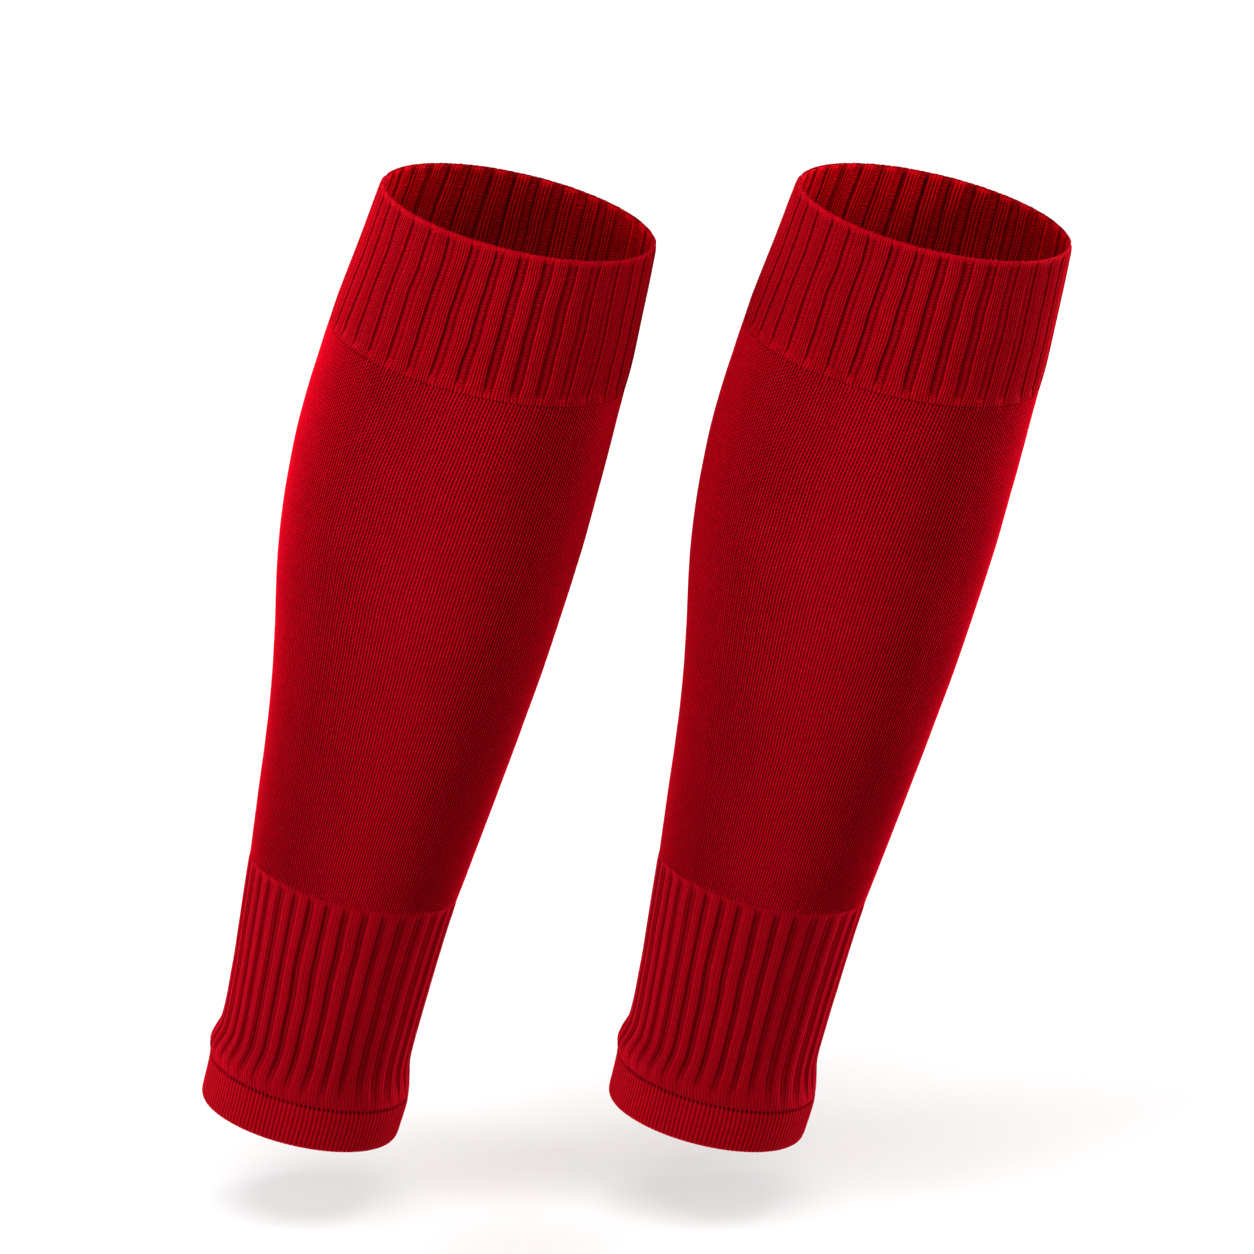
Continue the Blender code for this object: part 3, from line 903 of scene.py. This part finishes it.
LEG_COURSE = 1.70 * MM
LEG_OUTSIDE = (
    Row(CUFF_END, 0.4 * MM, 0.0, 0.3, 1.0),
    Row(CUFF_END + 6.0 * MM, 0.4 * MM, 0.0, 0.0, 1.0),
    # The last column darkens the leg's colour evenly, more towards the ankle, where its painted valley shade
    # fades
    Row(90.0 * MM, 0.4 * MM, 0.0, 0.0, 0.94, 0.03),
    Row(126.0 * MM, 0.4 * MM, 0.0, 0.0, 0.78, 0.12),
    Row(205.0 * MM, 0.4 * MM, 0.0, 0.0, 0.66, 0.25),
    Row(ANKLE_START - 5.0 * MM, 0.4 * MM, 0.0, 0.0, 0.6, 0.32),
    Row(ANKLE_START, 0.4 * MM, 0.0, 0.2, 0.6, 0.32),
)
LEG_INSIDE = (
    Row(CUFF_END, 2.0 * MM, 0.0, 0.3, 0.0),
    Row(ANKLE_START, 2.0 * MM, 0.0, 0.2, 0.0),
)
LEG_INSIDE_SPACING = 5.1 * MM
LEG_YARN = Yarn(
    colour=(0.44, 0.0004, 0.0068), gap_strength=1.0, lines_per_wale=2.0, valley_shade=1.0, dashes=0.50,
    rung_shade=0.0, groove_shade=0.0, bump=1.40 * MM, fuzz_bump=0.10 * MM, roughness=0.88, sheen=1.00)
LEG_LINING_YARN = Yarn(
    colour=(0.32, 0.0004, 0.0055), gap_strength=0.70, lines_per_wale=2.0, valley_shade=0.6, dashes=0.40,
    rung_shade=0.70, groove_shade=0.0, bump=0.45 * MM, fuzz_bump=0.10 * MM, roughness=0.88, sheen=0.40)

leg = knit_wall("left_leg_knit", rows_along(LEG_OUTSIDE, LEG_COURSE),
                rows_along(LEG_INSIDE, LEG_INSIDE_SPACING), LEG_COURSE, inside_step=2)
made_mesh(leg, RELIEF, {
    "Leg Relief": 0.90 * MM, "Lines Per Wale": 2.0, "Fine Rib Relief": 0.10 * MM, **WANDER,
    "Outside Yarn": knit_material("leg_yarn", LEG_YARN),
    "Inside Yarn": knit_material("leg_inside_yarn", LEG_LINING_YARN, inside=1.0)})
legs = {"left": leg, "right": matching_right(leg)}
declare_knit(legs, "leg")


# ---- Ankle ribs ----
# The same 35 ribs again above the ankle, brushed softer and rounder than the cuff's. The hem below holds
# them in, so they swell out just above its seam and run out into small plain stitches.

HEM_SEAM = 355.2 * MM
ANKLE_COURSE = 1.19 * MM
ANKLE_OUTSIDE = (
    Row(ANKLE_START, 0.4 * MM, 0.0, 0.2, 0.75),
    Row(275.0 * MM, 0.1 * MM, 0.85, 0.4, 0.75),
    Row(278.0 * MM, 0.0 * MM, 1.0, 0.5, 0.75),
    Row(343.0 * MM, 0.0 * MM, 1.0, 0.5, 0.75),
    Row(347.0 * MM, 0.0 * MM, 0.8, 0.4, 0.75),
    Row(351.0 * MM, 0.0 * MM, 0.35, 0.3, 0.8),
    Row(354.2 * MM, 0.2 * MM, 0.05, 0.2, 0.9),
    # The last rows are darkened with painted shade, in the seam's groove
    Row(354.8 * MM, 0.7 * MM, 0.0, 0.2, 0.4, 0.5),
    Row(HEM_SEAM, 1.4 * MM, 0.0, 0.2, 0.2, 0.8),
)
ANKLE_INSIDE = (
    Row(ANKLE_START, 2.0 * MM, 0.0, 0.2, 0.0),
    Row(276.0 * MM, 2.4 * MM, 1.0, 0.5, 1.0),
    Row(345.0 * MM, 2.4 * MM, 1.0, 0.5, 1.0),
    Row(HEM_SEAM, 2.4 * MM, 0.2, 0.2, 0.4),
)
BRUSHED_RED = (0.22, 0.0003, 0.0036)
ANKLE_YARN = Yarn(
    colour=STRAND_YARN.colour, gap_strength=0.90, lines_per_wale=4 / 3, valley_shade=0.55, dashes=0.10,
    rung_shade=0.10, groove_shade=0.70, bump=0.30 * MM, fuzz_bump=0.16 * MM, roughness=0.88, sheen=0.90)
ANKLE_LINING_YARN = Yarn(
    colour=BRUSHED_RED, gap_strength=0.70, lines_per_wale=2.0, valley_shade=0.6, dashes=0.30,
    rung_shade=0.40, groove_shade=0.20, bump=0.40 * MM, fuzz_bump=0.10 * MM, roughness=0.88, sheen=0.40)

ankle = knit_wall("left_ankle_knit", rows_along(ANKLE_OUTSIDE, ANKLE_COURSE),
                  rows_along(ANKLE_INSIDE, 2 * ANKLE_COURSE), ANKLE_COURSE, inside_step=2)
made_mesh(ankle, RELIEF, {
    "Rib Depth": RIB_DEPTH, "Crest Half Width": 0.8, "Purl Rise": 0.20, "Leg Relief": 0.26 * MM,
    "Lines Per Wale": 4 / 3, **WANDER,
    "Outside Yarn": knit_material("ankle_yarn", ANKLE_YARN),
    "Inside Yarn": knit_material("ankle_inside_yarn", ANKLE_LINING_YARN, inside=1.0)})
ankles = {"left": ankle, "right": matching_right(ankle)}
declare_knit(ankles, "ankle_rib")


# ---- Hem seams ----
# Under each ankle rib one short strand to a wale sews the hem on, with a small hole each side of it. It is
# the same soft yarn as the ankle's, laid down the leg and slanted.

SEAM_STITCH = Strands(station=355.3 * MM, inset=0.90 * MM, tilt=0.0, round_leg=False,
                      length=2.8 * MM, thickness=0.62 * MM, bow=0.50 * MM, slant=math.radians(16.0), seed=23)

hem_seam = stitched_round("left_seam_stitches", SEAM_STITCH)
hem_seams = {"left": hem_seam, "right": matching_right(hem_seam)}
for seam in hem_seams.values():
    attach(seam, "root")


# ---- Hems ----
# A turned band of fine 1x1 rib, one rib to a wale, folded along its rounded lower edge. It is doubled,
# so it is thicker than the ankle rib, and it is sewn to that along its top edge.

HEM_END = 372.6 * MM
HEM_COURSE = 1.2 * MM
HEM_OUTSIDE = (
    # The first rows are darkened with painted shade, in the seam's groove
    Row(HEM_SEAM, 1.5 * MM, 0.0, 0.2, 0.2, 0.8),
    Row(355.7 * MM, 0.6 * MM, 0.0, 0.1, 0.6, 0.5),
    Row(356.2 * MM, 0.25 * MM, 0.0, 0.1, 0.9, 0.0),
    Row(357.0 * MM, 0.05 * MM, 0.0, 0.0, 1.0),
    Row(369.8 * MM, 0.0 * MM, 0.0, 0.0, 1.0),
    Row(371.2 * MM, 0.2 * MM, 0.0, 0.0, 0.9),
    Row(372.1 * MM, 0.65 * MM, 0.0, 0.0, 0.7),
    Row(HEM_END, 1.4 * MM, 0.0, 0.0, 0.5),
)
HEM_INSIDE = (
    Row(HEM_SEAM, 2.8 * MM, 0.0, 0.2, 0.0),
    Row(370.8 * MM, 2.8 * MM, 0.0, 0.0, 0.5),
    Row(372.2 * MM, 2.2 * MM, 0.0, 0.0, 0.5),
)
HEM_YARN = Yarn(
    colour=BRUSHED_RED, gap_strength=0.85, lines_per_wale=1.0, valley_shade=0.75, dashes=0.0,
    rung_shade=0.0, groove_shade=0.0, bump=0.25 * MM, fuzz_bump=0.12 * MM, roughness=0.88, sheen=0.60)

hem = knit_wall("left_hem_knit", rows_along(HEM_OUTSIDE, HEM_COURSE),
                rows_along(HEM_INSIDE, 2 * HEM_COURSE), HEM_COURSE, rounded_bottom=True)
hem_material = knit_material("hem_yarn", HEM_YARN)
made_mesh(hem, RELIEF, {
    "Fine Rib Relief": 0.32 * MM, **WANDER,
    "Outside Yarn": hem_material, "Inside Yarn": hem_material})
hems = {"left": hem, "right": matching_right(hem)}
declare_knit(hems, "hem")


# ---- Floor, light and camera ----
# A plain white floor 29 mm below the hems. Four low soft boxes, two in front and two behind, light the
# sides, and a wide soft light from above lights the fronts and casts the faint shadow. The camera stands
# 5 m away, 18.3 degrees above the middle.

FLOOR_HEIGHT = -373.0 * MM
FLOOR_SIDE = 24.0
FLOOR_WHITE = 0.61

floor_mesh = bpy.data.meshes.new("floor")
half = FLOOR_SIDE / 2
floor_mesh.from_pydata([(-half, -half, FLOOR_HEIGHT), (half, -half, FLOOR_HEIGHT),
                        (half, half, FLOOR_HEIGHT), (-half, half, FLOOR_HEIGHT)], [], [(0, 1, 2, 3)])
floor = bpy.data.objects.new("floor", floor_mesh)
floor_material = bpy.data.materials.new("white_floor")
floor_material.use_nodes = True
floor_shader = floor_material.node_tree.nodes["Principled BSDF"]
floor_shader.inputs["Base Color"].default_value = (FLOOR_WHITE, FLOOR_WHITE, FLOOR_WHITE, 1.0)
floor_shader.inputs["Roughness"].default_value = 0.9
floor_shader.inputs["Specular IOR Level"].default_value = 0.0
floor_mesh.materials.append(floor_material)
bpy.context.collection.objects.link(floor)

# Degrees round from the front and up, metres and watts
SoftBox = namedtuple("SoftBox", "name azimuth elevation distance width height power")
AIM = Vector((0.07, 0.0, -0.15))
for box in (
    SoftBox("key_left", -62.0, 8.5, 2.2, 1.3, 1.0, 84.0),
    SoftBox("rim_left", -127.0, 8.0, 2.2, 0.9, 0.9, 46.0),
    SoftBox("rim_right", 124.0, 8.0, 2.2, 0.9, 0.9, 70.0),
    SoftBox("fill_right", 64.0, 8.0, 2.2, 0.6, 0.9, 36.0),
):
    azimuth, elevation = math.radians(box.azimuth), math.radians(box.elevation)
    away = Vector((math.sin(azimuth) * math.cos(elevation), -math.cos(azimuth) * math.cos(elevation),
                   math.sin(elevation)))
    light = bpy.data.lights.new(box.name, "AREA")
    light.shape = "RECTANGLE"
    light.size, light.size_y = box.width, box.height
    light.energy = box.power
    lamp = bpy.data.objects.new(box.name, light)
    lamp.location = AIM + away * box.distance
    lamp.rotation_euler = away.to_track_quat("Z", "Y").to_euler()
    bpy.context.collection.objects.link(lamp)

OVERHEAD_STRENGTH = 2.40
OVERHEAD_SPREAD = math.radians(50.0)
OVERHEAD_TILT = math.radians(14.0)
overhead_data = bpy.data.lights.new("overhead", "SUN")
overhead_data.energy = OVERHEAD_STRENGTH
overhead_data.angle = OVERHEAD_SPREAD
overhead = bpy.data.objects.new("overhead", overhead_data)
overhead.rotation_euler = (OVERHEAD_TILT, 0.0, 0.0)
bpy.context.collection.objects.link(overhead)

STUDIO_STRENGTH = 0.18
world = bpy.data.worlds.new("studio")
world.use_nodes = True
studio = world.node_tree.nodes["Background"]
studio.inputs["Color"].default_value = (1.0, 1.0, 1.0, 1.0)
studio.inputs["Strength"].default_value = STUDIO_STRENGTH
bpy.context.scene.world = world
bpy.context.scene.view_settings.view_transform = "Standard"

CAMERA_TARGET = Vector((0.0482, 0.0, -0.1379))
CAMERA_ELEVATION = math.radians(18.3)
CAMERA_DISTANCE = 5.0
CAMERA_LENS = 376.7
camera_data = bpy.data.cameras.new("camera")
camera_data.lens = CAMERA_LENS
camera_data.sensor_width = 36.0
camera = bpy.data.objects.new("camera", camera_data)
back = Vector((0.0, -math.cos(CAMERA_ELEVATION), math.sin(CAMERA_ELEVATION)))
camera.location = CAMERA_TARGET + back * CAMERA_DISTANCE
camera.rotation_euler = back.to_track_quat("Z", "Y").to_euler()
bpy.context.collection.objects.link(camera)
bpy.context.scene.camera = camera
